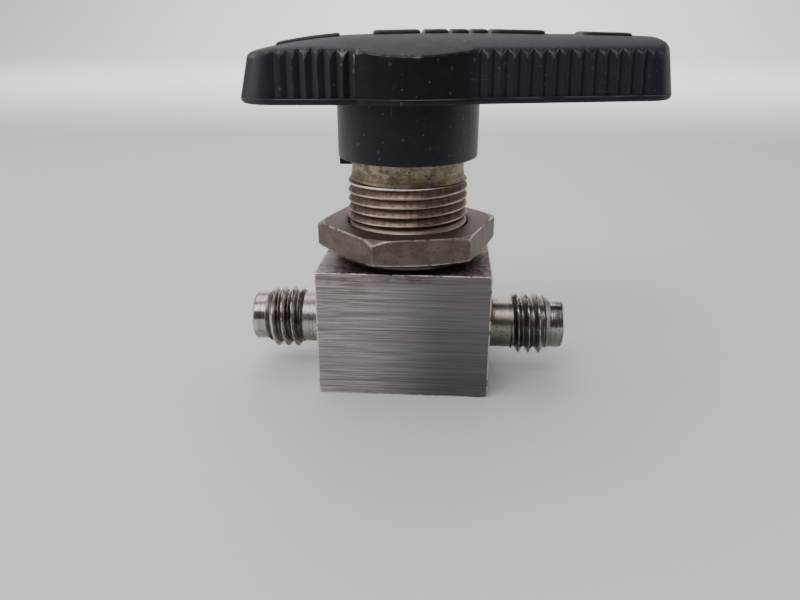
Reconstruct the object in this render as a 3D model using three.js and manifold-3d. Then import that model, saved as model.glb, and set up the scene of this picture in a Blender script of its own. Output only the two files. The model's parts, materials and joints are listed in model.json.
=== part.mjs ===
// Quarter-turn instrumentation ball valve with a directional lever handle.
// Millimetres, +Z up. The origin is the centre of the body's bottom face, X is the flow axis.
// The lever stands LEVER_ANGLE off the flow axis, counter-clockwise seen from above.

import * as THREE from 'three';
import { mergeVertices } from 'three/addons/utils/BufferGeometryUtils.js';
import Module from 'manifold-3d';

// ---------------------------------------------------------------- driving dimensions

const GAP = 0.3;                    // clearance between neighbouring pieces
const PAST = 1;                     // how far a cutting solid runs past the face it cuts

// valve body
const BODY = { width: 20.3, depth: 17.4, height: 15.36 };
const FLOW_Z = 6.35;                // height of the flow axis
const FLOW_BORE_R = 1.2;
const CHAMBER_R = 5.7;              // packing chamber
const CHAMBER_FLOOR_Z = 1.5;
const CHAMBER_TOP_Z = 10.6;         // above it the bore is tapped for the packing bolt

// male tube-fitting ends, measured outwards along X
const END_X = 19.55;
const FITTING = {
  neckR: 3.2,
  neckEnd: 12.7,
  threadCrestR: 3.9,
  threadRootR: 3.2,
  threadPitch: 1.27,
  threadTurns: 4,
  crestShare: 0.2,                  // flat at the crest over the pitch
  noseR: 3.05,
  noseStep: 0.1,                    // from the last root to the plain nose
  noseChamfer: 0.35,
  socketR: 1.65,                    // takes 1/8 inch tube
  socketDepth: 5.2,
  socketCone: 0.4,
  mouthR: 2.05,
  mouthDepth: 0.9,
};

// packing bolt, 9/16 inch with 24 turns to the inch
const BOLT = {
  crestR: 7.15,
  rootR: 6.6,
  pitch: 1.0583,
  exposedTurns: 6,                  // the turns inside the body and the nut are left plain
  crestShare: 0.1,
  bottomZ: 11.0,
  collarR: 6.58,
  collarBottomZ: 25.0,
  topZ: 29.3,
  springPocketR: 5.7,
  springPocketTopZ: 15.4,
  stemBoreR: 2.35,
  bushingPocketR: 4.6,
  bushingPocketZ: 26.0,
};

// panel nut, 3/4 inch across flats
const NUT = {
  acrossFlats: 19.05,
  bottomZ: 15.7,
  topZ: 19.7,
  cornerBottomZ: 17.05,
  cornerTopZ: 19.54,
  washerR: 8.9,
  topFaceR: 9.2,
  clocking: THREE.MathUtils.degToRad(12.8),
};

// ball stem
const BALL_R = 2.8;
const STEM = { r: 2.05, topZ: 36.4, flatBottomZ: 30.0, flatDepth: 0.5 };

// packing set: heights of the bottom and top of each ring
const RING_R = CHAMBER_R - GAP;
const LOWER_SUPPORT_Z = [1.8, 2.4];
const LOWER_PACKING_Z = [2.7, FLOW_Z - GAP / 2];
const UPPER_PACKING_Z = [FLOW_Z + GAP / 2, 9.3];
const UPPER_SUPPORT_Z = [9.6, 10.2];
const GLAND_Z = [10.5, 11.5];
const SPRING_Z = [[11.8, 12.75], [13.05, 14.0]];
const SPRING_THICKNESS = 0.45;
const WASHER_Z = [14.3, 15.1];
const BUSHING_Z = [BOLT.bushingPocketZ + GAP, 29.0];
const SEAT_R = 1.5;                 // passage through the packing
const SIDE_POCKET = { r: 2.5, x: 3.4 };
const SIDE_DISC = { x: [3.7, 4.1], r: 2.2, holeR: 1.3 };
const SIDE_RING = { x: [4.4, 4.9], r: 2.2, holeR: 1.6 };

// lever handle: x runs along the lever, in its own turned frame
const LEVER_ANGLE = 0.15;           // radians, about 8.6 degrees
const HUB = { topR: 8.22, bottomR: 8.18, bottomZ: 27.4, boreR: 6.9, boreTopZ: 29.7 };
const LEVER = {
  bottomZ: 33.97,
  lipTopZ: 34.6,
  lip: 0.25,
  leftX: -18.1,
  rightX: 29.0,
  leftHalfWidth: 7.2,
  rightHalfWidth: 6.6,
  centreHalfWidth: 8.7,
  cornerR: 3.0,
  bossHalfLength: 6.1,
  bossHalfWidth: 9.65,
  taper: 0.965,                     // plan size at the top over plan size at the lip
  crownR: 18.7,
};
// height of the crown's ridge along the lever, as [x, z], highest at RIDGE_Z
const RIDGE_Z = 40.94;
const RIDGE = [[-19.5, 38.4], [-17, 39.15], [-14.6, 39.72], [-12, 40.17], [-7, 40.67], [-3.7, 40.82],
  [1, 40.91], [5.5, RIDGE_Z], [10, 40.91], [15, 40.82], [22, 40.72], [26, 40.6], [29.5, 40.3]];
const PAD = { height: 0.45, halfWidth: 2.2 };
const PAD_SPANS = [[-14.6, -7.6], [-3.95, 15.1], [19.4, 25.0]];

// quarter-turn stop: a tab on the hub runs in a recess of the packing bolt's collar
const STOP = {
  tabStart: THREE.MathUtils.degToRad(145),
  tabEnd: THREE.MathUtils.degToRad(180),
  tabBottomZ: 26.2,
  lugR: 5.75,
  recessR: 5.45,
  recessZ: 27.2,
  openTravel: LEVER_ANGLE,          // clockwise, to the open stop
  closeTravel: Math.PI / 2 - LEVER_ANGLE,
  clearance: 0.03,                  // radians
};

// handle insert and set screw
const INSERT = { r: 4.2, z: [30.0, 36.7] };
const SCREW = { r: 1.5, z: 31.85, tip: 1.95, tipChamfer: 0.4, head: 7.5, socketR: 0.75, socketDepth: 1.6 };

// facets round a full turn
const FINE = 48;
const MEDIUM = 32;
const COARSE = 20;
const OUTLINE_STEPS = 6;            // steps along each curve of the lever's outline

// ---------------------------------------------------------------- solids

const wasm = await Module();
wasm.setup();

// turns a closed three.js geometry into a solid
function solid(geometry) {
  const bare = geometry.index ? geometry : geometry.clone();
  bare.deleteAttribute('normal');
  bare.deleteAttribute('uv');
  const merged = mergeVertices(bare, 1e-4);
  const meshOptions = {
    numProp: 3,
    vertProperties: new Float32Array(merged.attributes.position.array),
    triVerts: new Uint32Array(merged.index.array),
  };
  return new wasm.Manifold(new wasm.Mesh(meshOptions));
}

function geometryOf(manifold) {
  const result = manifold.getMesh();
  const geometry = new THREE.BufferGeometry();
  geometry.setAttribute('position', new THREE.BufferAttribute(new Float32Array(result.vertProperties), 3));
  geometry.setIndex(new THREE.BufferAttribute(new Uint32Array(result.triVerts), 1));
  geometry.computeVertexNormals();
  return geometry;
}

// solid of revolution about Z from [radius, z] pairs that end on the axis or close on themselves
function turned(profile, segments) {
  const points = profile.map(([radius, z]) => new THREE.Vector2(radius, z));
  const geometry = new THREE.LatheGeometry(points, segments);
  geometry.rotateX(Math.PI / 2);
  return solid(geometry);
}

function rod(radius, bottom, top, segments = MEDIUM) {
  return turned([[0, bottom], [radius, bottom], [radius, top], [0, top]], segments);
}

function ring(radius, holeRadius, [bottom, top], segments = MEDIUM) {
  return rod(radius, bottom, top, segments).subtract(rod(holeRadius, bottom - PAST, top + PAST, segments));
}

// profile points of a V thread: rings with a narrow flat crest, from one root to the next
function threadProfile({ crestR, rootR, pitch, turns, crestShare }, start) {
  const points = [];
  for (let turn = 0; turn < turns; turn += 1) {
    const middle = start + (turn + 0.5) * pitch;
    points.push([crestR, middle - pitch * crestShare / 2]);
    points.push([crestR, middle + pitch * crestShare / 2]);
    points.push([rootR, middle + pitch / 2]);
  }
  return points;
}

// turns a solid that stands on Z so that it lies along X at the height of the flow axis
function alongFlow(manifold) {
  return manifold.rotate([0, 90, 0]).translate([0, 0, FLOW_Z]);
}

function box(width, depth, bottom, top) {
  const geometry = new THREE.BoxGeometry(width, depth, top - bottom);
  geometry.translate(0, 0, (top + bottom) / 2);
  return solid(geometry);
}

// an upright prism from a closed THREE.Shape
function prism(shape, bottom, top, curveSegments = 12) {
  const options = { depth: top - bottom, bevelEnabled: false, curveSegments };
  const geometry = new THREE.ExtrudeGeometry(shape, options);
  geometry.translate(0, 0, bottom);
  return solid(geometry);
}

// a piece of ring between two angles
function sector(innerR, outerR, startAngle, endAngle, bottom, top) {
  const shape = new THREE.Shape();
  shape.absarc(0, 0, outerR, startAngle, endAngle, false);
  shape.absarc(0, 0, innerR, endAngle, startAngle, true);
  shape.closePath();
  return prism(shape, bottom, top, FINE / 2);
}

// ---------------------------------------------------------------- valve body

// the outside of one fitting, standing on Z with its nose up
function fittingOutside() {
  const thread = {
    crestR: FITTING.threadCrestR,
    rootR: FITTING.threadRootR,
    pitch: FITTING.threadPitch,
    turns: FITTING.threadTurns,
    crestShare: FITTING.crestShare,
  };
  const threadEnd = FITTING.neckEnd + FITTING.threadTurns * FITTING.threadPitch;
  return turned([
    [0, 0],
    [FITTING.neckR, 0],
    [FITTING.neckR, FITTING.neckEnd],
    ...threadProfile(thread, FITTING.neckEnd),
    [FITTING.noseR, threadEnd + FITTING.noseStep],
    [FITTING.noseR, END_X - FITTING.noseChamfer],
    [FITTING.noseR - FITTING.noseChamfer, END_X],
    [0, END_X],
  ], MEDIUM);
}

function fittingInside() {
  const start = CHAMBER_R - PAST;
  return turned([
    [0, start],
    [FLOW_BORE_R, start],
    [FLOW_BORE_R, END_X - FITTING.socketDepth - FITTING.socketCone],
    [FITTING.socketR, END_X - FITTING.socketDepth],
    [FITTING.socketR, END_X - FITTING.mouthDepth],
    [FITTING.mouthR, END_X],
    [FITTING.mouthR, END_X + PAST],
    [0, END_X + PAST],
  ], COARSE);
}

function valveBody() {
  const outside = fittingOutside();
  const inside = fittingInside();
  return box(BODY.width, BODY.depth, 0, BODY.height)
    .add(alongFlow(outside))
    .add(alongFlow(outside.rotate([0, 180, 0])))
    .subtract(alongFlow(inside))
    .subtract(alongFlow(inside.rotate([0, 180, 0])))
    .subtract(rod(CHAMBER_R, CHAMBER_FLOOR_Z, CHAMBER_TOP_Z + PAST))
    .subtract(rod(BOLT.crestR + GAP, CHAMBER_TOP_Z, BODY.height + PAST, FINE));
}

// ---------------------------------------------------------------- packing bolt and panel nut

function stopRecess() {
  const start = STOP.tabStart - STOP.openTravel - STOP.clearance;
  const end = STOP.tabEnd + STOP.closeTravel + STOP.clearance;
  return sector(STOP.recessR, BOLT.collarR + PAST, start, end, STOP.recessZ, BOLT.topZ + PAST);
}

function packingBolt() {
  const thread = { ...BOLT, turns: BOLT.exposedTurns };
  const threadStart = BOLT.collarBottomZ - BOLT.exposedTurns * BOLT.pitch;
  return turned([
    [0, BOLT.bottomZ],
    [BOLT.rootR, BOLT.bottomZ],
    [BOLT.crestR, BOLT.bottomZ + BOLT.crestR - BOLT.rootR],
    [BOLT.crestR, threadStart - BOLT.pitch / 2],
    [BOLT.rootR, threadStart],
    ...threadProfile(thread, threadStart),
    [BOLT.collarR, BOLT.topZ],
    [0, BOLT.topZ],
  ], FINE)
    .subtract(rod(BOLT.springPocketR, BOLT.bottomZ - PAST, BOLT.springPocketTopZ))
    .subtract(rod(BOLT.stemBoreR, BOLT.springPocketTopZ - PAST, BOLT.topZ + PAST))
    .subtract(rod(BOLT.bushingPocketR, BOLT.bushingPocketZ, BOLT.topZ + PAST))
    .subtract(stopRecess());
}

// the chamfers of a hexagonal nut are cut by a double cone about its axis
function panelNut() {
  const cornerR = NUT.acrossFlats / Math.sqrt(3);
  const hexagon = new THREE.Shape();
  for (let corner = 0; corner < 6; corner += 1) {
    const angle = NUT.clocking + corner * Math.PI / 3;
    const place = [cornerR * Math.cos(angle), cornerR * Math.sin(angle)];
    if (corner === 0) hexagon.moveTo(...place);
    else hexagon.lineTo(...place);
  }
  hexagon.closePath();
  const chamfers = turned([
    [0, NUT.bottomZ],
    [NUT.washerR, NUT.bottomZ],
    [cornerR, NUT.cornerBottomZ],
    [cornerR, NUT.cornerTopZ],
    [NUT.topFaceR, NUT.topZ],
    [0, NUT.topZ],
  ], FINE);
  return prism(hexagon, NUT.bottomZ, NUT.topZ)
    .intersect(chamfers)
    .subtract(rod(BOLT.crestR + GAP, NUT.bottomZ - PAST, NUT.topZ + PAST, FINE));
}

// ---------------------------------------------------------------- stem and packing

function ballStem() {
  const ball = new THREE.SphereGeometry(BALL_R, COARSE, COARSE / 2);
  const flat = box(STEM.r * 2, STEM.flatDepth * 2, STEM.flatBottomZ, STEM.topZ + PAST);
  const port = alongFlow(rod(FLOW_BORE_R, -BALL_R - PAST, BALL_R + PAST, COARSE));
  return solid(ball)
    .translate([0, 0, FLOW_Z])
    .add(rod(STEM.r, FLOW_Z, STEM.topZ, COARSE))
    .subtract(flat.translate([0, STEM.r, 0]))
    .subtract(port)
    .rotate([0, 0, THREE.MathUtils.radToDeg(LEVER_ANGLE)]);
}

// what every packing ring is cut by: the ball, the flow passage and the pockets of the side rings
function packingHollow() {
  const ball = new THREE.SphereGeometry(BALL_R + GAP, COARSE, COARSE / 2);
  const passage = alongFlow(rod(SEAT_R, -CHAMBER_R - PAST, CHAMBER_R + PAST, COARSE));
  const pocket = alongFlow(rod(SIDE_POCKET.r, SIDE_POCKET.x, CHAMBER_R + PAST, COARSE));
  return solid(ball)
    .translate([0, 0, FLOW_Z])
    .add(passage)
    .add(pocket)
    .add(pocket.rotate([0, 0, 180]));
}

function packing([bottom, top], holeRadius) {
  const block = holeRadius > 0 ? ring(RING_R, holeRadius, [bottom, top]) : rod(RING_R, bottom, top);
  return block.subtract(packingHollow());
}

// a disc or ring that faces the ball on one side of the flow axis
function sidePiece({ x, r, holeR }, side) {
  return alongFlow(ring(r, holeR, x, COARSE)).rotate([0, 0, side < 0 ? 180 : 0]);
}

// a conical spring washer; the two of a pair are turned against each other
function discSpring([bottom, top], narrowEndUp) {
  const outer = RING_R;
  const inner = STEM.r + GAP;
  const [lowR, highR] = narrowEndUp ? [outer, inner] : [inner, outer];
  const section = [
    [lowR, bottom],
    [lowR, bottom + SPRING_THICKNESS],
    [highR, top],
    [highR, top - SPRING_THICKNESS],
    [lowR, bottom],
  ];
  if (!narrowEndUp) section.reverse();
  return turned(section, MEDIUM);
}

// ---------------------------------------------------------------- handle

// plan outline of the lever: tapering arms, rounded ends and a bulging boss on each side
function leverOutline(grow) {
  const left = LEVER.leftX - grow;
  const right = LEVER.rightX + grow;
  const leftWidth = LEVER.leftHalfWidth + grow;
  const rightWidth = LEVER.rightHalfWidth + grow;
  const corner = LEVER.cornerR;
  const bossX = LEVER.bossHalfLength;
  const bossTip = LEVER.bossHalfWidth + grow;
  const leftTaper = (LEVER.centreHalfWidth - LEVER.leftHalfWidth) / -LEVER.leftX;
  const rightTaper = (LEVER.centreHalfWidth - LEVER.rightHalfWidth) / LEVER.rightX;
  const bossLeft = LEVER.centreHalfWidth + grow - leftTaper * bossX;
  const bossRight = LEVER.centreHalfWidth + grow - rightTaper * bossX;
  const shape = new THREE.Shape();
  shape.moveTo(left + corner, -leftWidth);
  shape.lineTo(-bossX, -bossLeft);
  shape.quadraticCurveTo(0, bossLeft - 2 * bossTip, bossX, -bossRight);
  shape.lineTo(right - corner, -rightWidth);
  shape.quadraticCurveTo(right, -rightWidth, right, -rightWidth + corner);
  shape.lineTo(right, rightWidth - corner);
  shape.quadraticCurveTo(right, rightWidth, right - corner, rightWidth);
  shape.lineTo(bossX, bossRight);
  shape.quadraticCurveTo(0, 2 * bossTip - bossLeft, -bossX, bossLeft);
  shape.lineTo(left + corner, leftWidth);
  shape.quadraticCurveTo(left, leftWidth, left, leftWidth - corner);
  shape.lineTo(left, -leftWidth + corner);
  shape.quadraticCurveTo(left, -leftWidth, left + corner, -leftWidth);
  return shape;
}

// the arms narrow upwards from the lip
function taperedArms(top) {
  const options = { depth: top - LEVER.bottomZ, bevelEnabled: false, curveSegments: OUTLINE_STEPS };
  const geometry = new THREE.ExtrudeGeometry(leverOutline(0), options);
  const position = geometry.attributes.position;
  for (let index = 0; index < position.count; index += 1) {
    if (position.getZ(index) > 0) {
      position.setX(index, position.getX(index) * LEVER.taper);
      position.setY(index, position.getY(index) * LEVER.taper);
    }
  }
  geometry.translate(0, 0, LEVER.bottomZ);
  return solid(geometry);
}

// the crowned top: a barrel whose axis lies along the lever
function crown(rise) {
  const centreZ = RIDGE_Z - LEVER.crownR;
  const first = RIDGE[0][0];
  const last = RIDGE[RIDGE.length - 1][0];
  const profile = RIDGE.map(([x, z]) => [z + rise - centreZ, x]);
  const barrel = turned([[0, first], ...profile, [0, last]], FINE * 2);
  return barrel.rotate([0, 90, 0]).translate([0, 0, centreZ]);
}

// low raised pads along the ridge
function topPads() {
  const pads = PAD_SPANS.map(([start, end]) => {
    const bar = box(end - start, PAD.halfWidth * 2, LEVER.lipTopZ, RIDGE_Z + PAST);
    return bar.translate([(start + end) / 2, 0, 0]);
  });
  return pads[0].add(pads[1]).add(pads[2]).intersect(crown(PAD.height));
}

function hub() {
  const tabR = HUB.boreR - GAP / 2;
  const lugOuterR = (HUB.boreR + HUB.bottomR) / 2;
  const inside = HUB.boreTopZ + PAST;
  const tab = sector(tabR, HUB.bottomR, STOP.tabStart, STOP.tabEnd, STOP.tabBottomZ, inside);
  const lug = sector(STOP.lugR, lugOuterR, STOP.tabStart, STOP.tabEnd, STOP.recessZ + GAP, inside);
  const barrel = turned([
    [0, HUB.bottomZ],
    [HUB.bottomR, HUB.bottomZ],
    [HUB.topR, LEVER.bottomZ + PAST],
    [0, LEVER.bottomZ + PAST],
  ], FINE);
  return barrel
    .subtract(rod(HUB.boreR, HUB.bottomZ - PAST, HUB.boreTopZ, FINE))
    .add(tab)
    .add(lug)
    .rotate([0, 0, -THREE.MathUtils.radToDeg(LEVER_ANGLE)]);
}

// the set screw's axis points to the back of the hub
function screwHole() {
  const hole = rod(SCREW.r + GAP, 0, HUB.topR + PAST, COARSE);
  return hole.rotate([-90, 0, 0]).translate([0, 0, SCREW.z]);
}

function handle() {
  const lip = prism(leverOutline(LEVER.lip), LEVER.bottomZ, LEVER.lipTopZ, OUTLINE_STEPS);
  return taperedArms(RIDGE_Z + PAST)
    .intersect(crown(0))
    .add(lip)
    .add(topPads())
    .add(hub())
    .subtract(rod(INSERT.r + GAP, HUB.boreTopZ - PAST, INSERT.z[1] + GAP))
    .subtract(screwHole());
}

// the insert's bore has a flat that drives the flat of the stem
function handleInsert() {
  const [bottom, top] = INSERT.z;
  const bore = rod(STEM.r + GAP, bottom - PAST, top + PAST, COARSE);
  const flatY = STEM.r - STEM.flatDepth + GAP;
  const flat = box(STEM.r * 4, 2 * PAST, bottom - 2 * PAST, top + 2 * PAST).translate([0, flatY + PAST, 0]);
  return rod(INSERT.r, bottom, top)
    .subtract(bore.subtract(flat))
    .subtract(screwHole());
}

function setScrew() {
  const socketCornerR = SCREW.socketR / Math.cos(Math.PI / 6);
  const socket = rod(socketCornerR, SCREW.head - SCREW.socketDepth, SCREW.head + PAST, 6);
  return turned([
    [0, SCREW.tip],
    [SCREW.r - SCREW.tipChamfer, SCREW.tip],
    [SCREW.r, SCREW.tip + SCREW.tipChamfer],
    [SCREW.r, SCREW.head],
    [0, SCREW.head],
  ], COARSE)
    .subtract(socket)
    .rotate([-90, 0, 0])
    .translate([0, 0, SCREW.z]);
}

// ---------------------------------------------------------------- materials and assembly

function material(color, roughness, metalness) {
  return new THREE.MeshStandardMaterial({ color, roughness, metalness });
}

const brushedSteel = () => material(0xb4b0ad, 0.4, 0.9);
const turnedSteel = () => material(0xc2bfba, 0.28, 1.0);
const dullSteel = () => material(0x8d867e, 0.5, 0.85);
const springSteel = () => material(0x75787c, 0.35, 0.95);
const blackNylon = () => material(0x141418, 0.42, 0.0);
const sealPlastic = () => material(0xeeeae2, 0.5, 0.0);
const brass = () => material(0xb8924a, 0.35, 1.0);
const blackSteel = () => material(0x2b2b2d, 0.45, 0.8);

const valve = new THREE.Group();
const lever = new THREE.Group();
lever.rotation.z = LEVER_ANGLE;
valve.add(lever);

function place(parent, name, manifold, look) {
  const mesh = new THREE.Mesh(geometryOf(manifold), look);
  mesh.name = name;
  parent.add(mesh);
}

place(valve, 'valve_body', valveBody(), brushedSteel());
place(valve, 'lower_packing_support', rod(RING_R, ...LOWER_SUPPORT_Z), turnedSteel());
place(valve, 'lower_packing', packing(LOWER_PACKING_Z, 0), sealPlastic());
place(valve, 'upper_packing', packing(UPPER_PACKING_Z, STEM.r + GAP), sealPlastic());
place(valve, 'upper_packing_support', ring(RING_R, STEM.r + GAP, UPPER_SUPPORT_Z), turnedSteel());
[['left', -1], ['right', 1]].forEach(([sideName, side]) => {
  place(valve, `side_disc_${sideName}`, sidePiece(SIDE_DISC, side), turnedSteel());
  place(valve, `side_ring_${sideName}`, sidePiece(SIDE_RING, side), turnedSteel());
});
place(valve, 'gland', ring(RING_R, STEM.r + GAP, GLAND_Z), turnedSteel());
place(valve, 'disc_spring_lower', discSpring(SPRING_Z[0], true), springSteel());
place(valve, 'disc_spring_upper', discSpring(SPRING_Z[1], false), springSteel());
place(valve, 'spring_washer', ring(RING_R, STEM.r + GAP, WASHER_Z), turnedSteel());
place(valve, 'packing_bolt', packingBolt(), dullSteel());
place(valve, 'stem_bushing', ring(BOLT.bushingPocketR - GAP, STEM.r + GAP, BUSHING_Z), sealPlastic());
place(valve, 'panel_nut', panelNut(), dullSteel());
place(valve, 'ball_stem', ballStem(), turnedSteel());
place(lever, 'handle', handle(), blackNylon());
place(lever, 'handle_insert', handleInsert(), brass());
place(lever, 'set_screw', setScrew(), blackSteel());

export default valve;
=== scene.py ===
import json
import math

import bmesh
import bpy
import numpy as np
from mathutils import Matrix, Vector


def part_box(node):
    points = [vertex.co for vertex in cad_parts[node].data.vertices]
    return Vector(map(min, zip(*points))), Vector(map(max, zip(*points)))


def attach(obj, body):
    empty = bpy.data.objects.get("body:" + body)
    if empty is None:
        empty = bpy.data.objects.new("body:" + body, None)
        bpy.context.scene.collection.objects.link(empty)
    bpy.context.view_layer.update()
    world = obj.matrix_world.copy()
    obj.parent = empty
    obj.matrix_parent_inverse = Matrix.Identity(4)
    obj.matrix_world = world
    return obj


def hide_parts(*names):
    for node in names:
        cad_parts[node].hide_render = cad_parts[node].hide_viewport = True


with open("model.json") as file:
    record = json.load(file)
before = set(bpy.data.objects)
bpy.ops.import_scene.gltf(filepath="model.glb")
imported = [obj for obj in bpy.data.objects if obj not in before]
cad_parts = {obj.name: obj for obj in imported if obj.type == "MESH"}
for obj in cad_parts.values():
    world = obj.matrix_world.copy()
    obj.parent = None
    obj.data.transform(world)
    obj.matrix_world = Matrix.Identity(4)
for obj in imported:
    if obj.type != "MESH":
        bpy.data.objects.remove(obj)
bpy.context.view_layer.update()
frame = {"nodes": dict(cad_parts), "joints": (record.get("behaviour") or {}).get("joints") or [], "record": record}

# Shapes are worked out in millimetres in the model's own frame: X along the flow, Z up the stem.
MM = 0.001
WELD = 0.001                        # vertices closer than this are one
TURN = 2 * math.pi


def box_mm(node):
    """Lowest and highest corner of a CAD node, in millimetres."""
    low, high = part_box(node)
    return np.array(low) / MM, np.array(high) / MM


def joint(name):
    return next(j for j in frame["joints"] if j["name"] == name)


body_low, body_high = box_mm("valve_body")
bolt_low, bolt_high = box_mm("packing_bolt")
nut_low, nut_high = box_mm("panel_nut")
handle_low = box_mm("handle")[0]
insert_high = box_mm("handle_insert")[1]
screw_low, screw_high = box_mm("set_screw")

# ---------------------------------------------------------------- sizes

BLOCK_WIDTH = 20.3
BODY_TOP = float(body_high[2])
BLOCK_EDGE = 0.16                   # rounding of the block's edges
FLOW_Z = 6.35
FLOW_BORE_R = 1.2
CHAMBER_R = 5.7
CHAMBER_Z = (1.5, 10.6)

FITTING_END = float(body_high[0])
FITTING_ROOT = 9.6                  # the fittings start inside the block
NECK_R = 3.2
NECK_FLARE = 0.45
THREAD_START, THREAD_END = 13.4, 17.65
THREAD_RISE, THREAD_FALL = 1.2, 0.8  # steepness of the thread where it starts and ends
FITTING_CREST_R, FITTING_ROOT_R, FITTING_PITCH = 3.92, 3.12, 1.27
NOSE_R = 3.05
FITTING_SIDES = ((-1, 12.7), (1, 13.03))     # side, and the height of its first crest at the bottom
SOCKET_R, SOCKET_DEPTH = 1.65, 5.2
MOUTH_R, MOUTH_DEPTH = 2.05, 0.9

BOLT_CREST_R, BOLT_ROOT_R, BOLT_PITCH = 7.15, 6.84, 1.0583
TAPPING_R = BOLT_CREST_R + 0.12      # the bore in the block that takes the bolt
BOLT_START_R = BOLT_ROOT_R - 0.3     # at the chamfer where the thread begins
BOLT_RISE, BOLT_FALL = 1.2, 1.7      # steepness of the thread at the chamfer and at the collar
BOLT_CREST_Z = 24.72                # height of the last crest, at the front
COLLAR_R, COLLAR_Z = 6.62, 24.85
COLLAR_FLARE, COLLAR_FLARE_HEIGHT = 0.24, 1.5
SPRING_POCKET_R, SPRING_POCKET_Z = 5.7, 15.4
STEM_BORE_R = 2.35
BUSHING_POCKET_R, BUSHING_POCKET_Z = 4.6, 26.0
RECESS_R, RECESS_Z = 5.45, 27.2
STOP_CLEARANCE = 0.03               # radians between the tab and the ends of its recess

NUT_FLATS = 19.05
NUT_CORNER_R = NUT_FLATS / math.sqrt(3)
NUT_CLOCKING = math.radians(12.8)
NUT_BORE_R = 7.28
NUT_WASHER_R, NUT_WASHER_Z = 8.7, 16.45
NUT_CORNER_Z = 16.94                # lowest point of the corners
NUT_CHAMFER_R = 10.13
NUT_CORNER_CUT, NUT_DEEP_CUT = 0.14, 0.5   # chamfer at the corners, and the extra at the most worn one

LEVER_ANGLE = -math.radians(joint("lever_turn")["range_deg"][0])
LEVER_Z = 33.97
LIP_TOP, LIP = 34.6, 0.25
LEFT_X, RIGHT_X = -18.1, 29.0
LEFT_HALF, RIGHT_HALF, CENTRE_HALF = 7.2, 6.35, 8.7
BOSS_HALF_LENGTH, BOSS_BULGE, BOSS_MIDDLE = 6.15, 0.95, -0.7
CORNER_R = 3.0
RIDGE_Z, EDGE_Z = 40.79, 39.12      # the crown's height along its middle and along its edges
RIDGE_SWELL = 0.15                  # extra height under the middle pads
SWELL_MIDDLE, SWELL_REACH = 5.5, 10.5
LEFT_FALL, RIGHT_FALL = (-3.7, 0.00927), (15, 0.00168)   # where the ridge starts to fall, and how fast
LEFT_EDGE_RISE = 0.3                # the left arm's crown is the flatter one
CROWN_POWER = 2.5                   # how square the crown is across the lever
DRAFT, LEFT_DRAFT, RIGHT_DRAFT = (math.tan(math.radians(a)) for a in (5.0, 13.0, 9.8))
ARM_FILLET, BOSS_FILLET, LEFT_FILLET, RIGHT_FILLET = 0.65, 0.2, 0.6, 1.0
GROOVE_DEPTH = 0.37
LEFT_GROOVES = (-6.8, -1.28, 7)     # first place, step and count along the lever
RIGHT_GROOVES = (6.9, 1.41, 14)
GROOVE_SHARE = 0.94                 # width of a groove over the step, the rest is a land
PAD_SPANS = [(-14.6, -7.6), (-3.95, 1.2), (1.65, 4.3), (4.65, 6.55), (6.9, 8.7), (9.1, 15.1), (19.4, 25.0)]
PAD_HALF_WIDTH, PAD_CORNER_R = 2.0, 0.5
PAD_HEIGHT, END_PAD_HEIGHT = 0.38, 0.3

HUB_TOP_R, HUB_BOTTOM_R = 8.22, 8.18
HUB_Z = 27.4
HUB_BORE_R, HUB_BORE_TOP = 6.9, 29.7
INSERT_POCKET_R = 4.5
TAB_ANGLES = (math.radians(145), math.radians(180))
SCREW_Z = float(screw_low[2] + screw_high[2]) / 2
SCREW_HOLE_R = 1.75
SCREW_TIP, SCREW_HEAD = 1.97, 7.48  # distances from the stem's axis
SCREW_POINT_R, SCREW_ROOT_R, SCREW_CREST_R, SCREW_PITCH = 0.85, 1.29, 1.48, 0.5
SOCKET_HALF, SCREW_SOCKET = 0.65, 1.6

# ---------------------------------------------------------------- camera, light and floor

CAMERA = Vector((5.166, -84.016, 41.843))
CAMERA_YAW, CAMERA_PITCH = 0.0726, -0.3727
CAMERA_LENS = 31.81


def make_camera():
    """The photo's camera: its place in millimetres, and its turn to the side and down."""
    forward = Vector((
        -math.sin(CAMERA_YAW) * math.cos(CAMERA_PITCH),
        math.cos(CAMERA_YAW) * math.cos(CAMERA_PITCH),
        math.sin(CAMERA_PITCH),
    ))
    right = Vector((math.cos(CAMERA_YAW), math.sin(CAMERA_YAW), 0))
    up = right.cross(forward)
    data = bpy.data.cameras.new("camera")
    data.lens = CAMERA_LENS
    data.clip_start, data.clip_end = 0.005, 20
    camera = bpy.data.objects.new("camera", data)
    rotation = Matrix((right, up, -forward)).transposed()
    camera.matrix_world = Matrix.Translation(CAMERA * MM) @ rotation.to_4x4()
    bpy.context.scene.collection.objects.link(camera)
    bpy.context.scene.camera = camera


def area_light(name, place, size, power, colour=(1, 1, 1), target=(0, 0, 0.02)):
    """A soft square light, placed in metres, that faces its target."""
    data = bpy.data.lights.new(name, "AREA")
    data.size, data.energy, data.color = size, power, colour
    light = bpy.data.objects.new(name, data)
    light.location = place
    aim = Vector(target) - Vector(place)
    light.rotation_euler = aim.to_track_quat("-Z", "Y").to_euler()
    bpy.context.scene.collection.objects.link(light)


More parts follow.
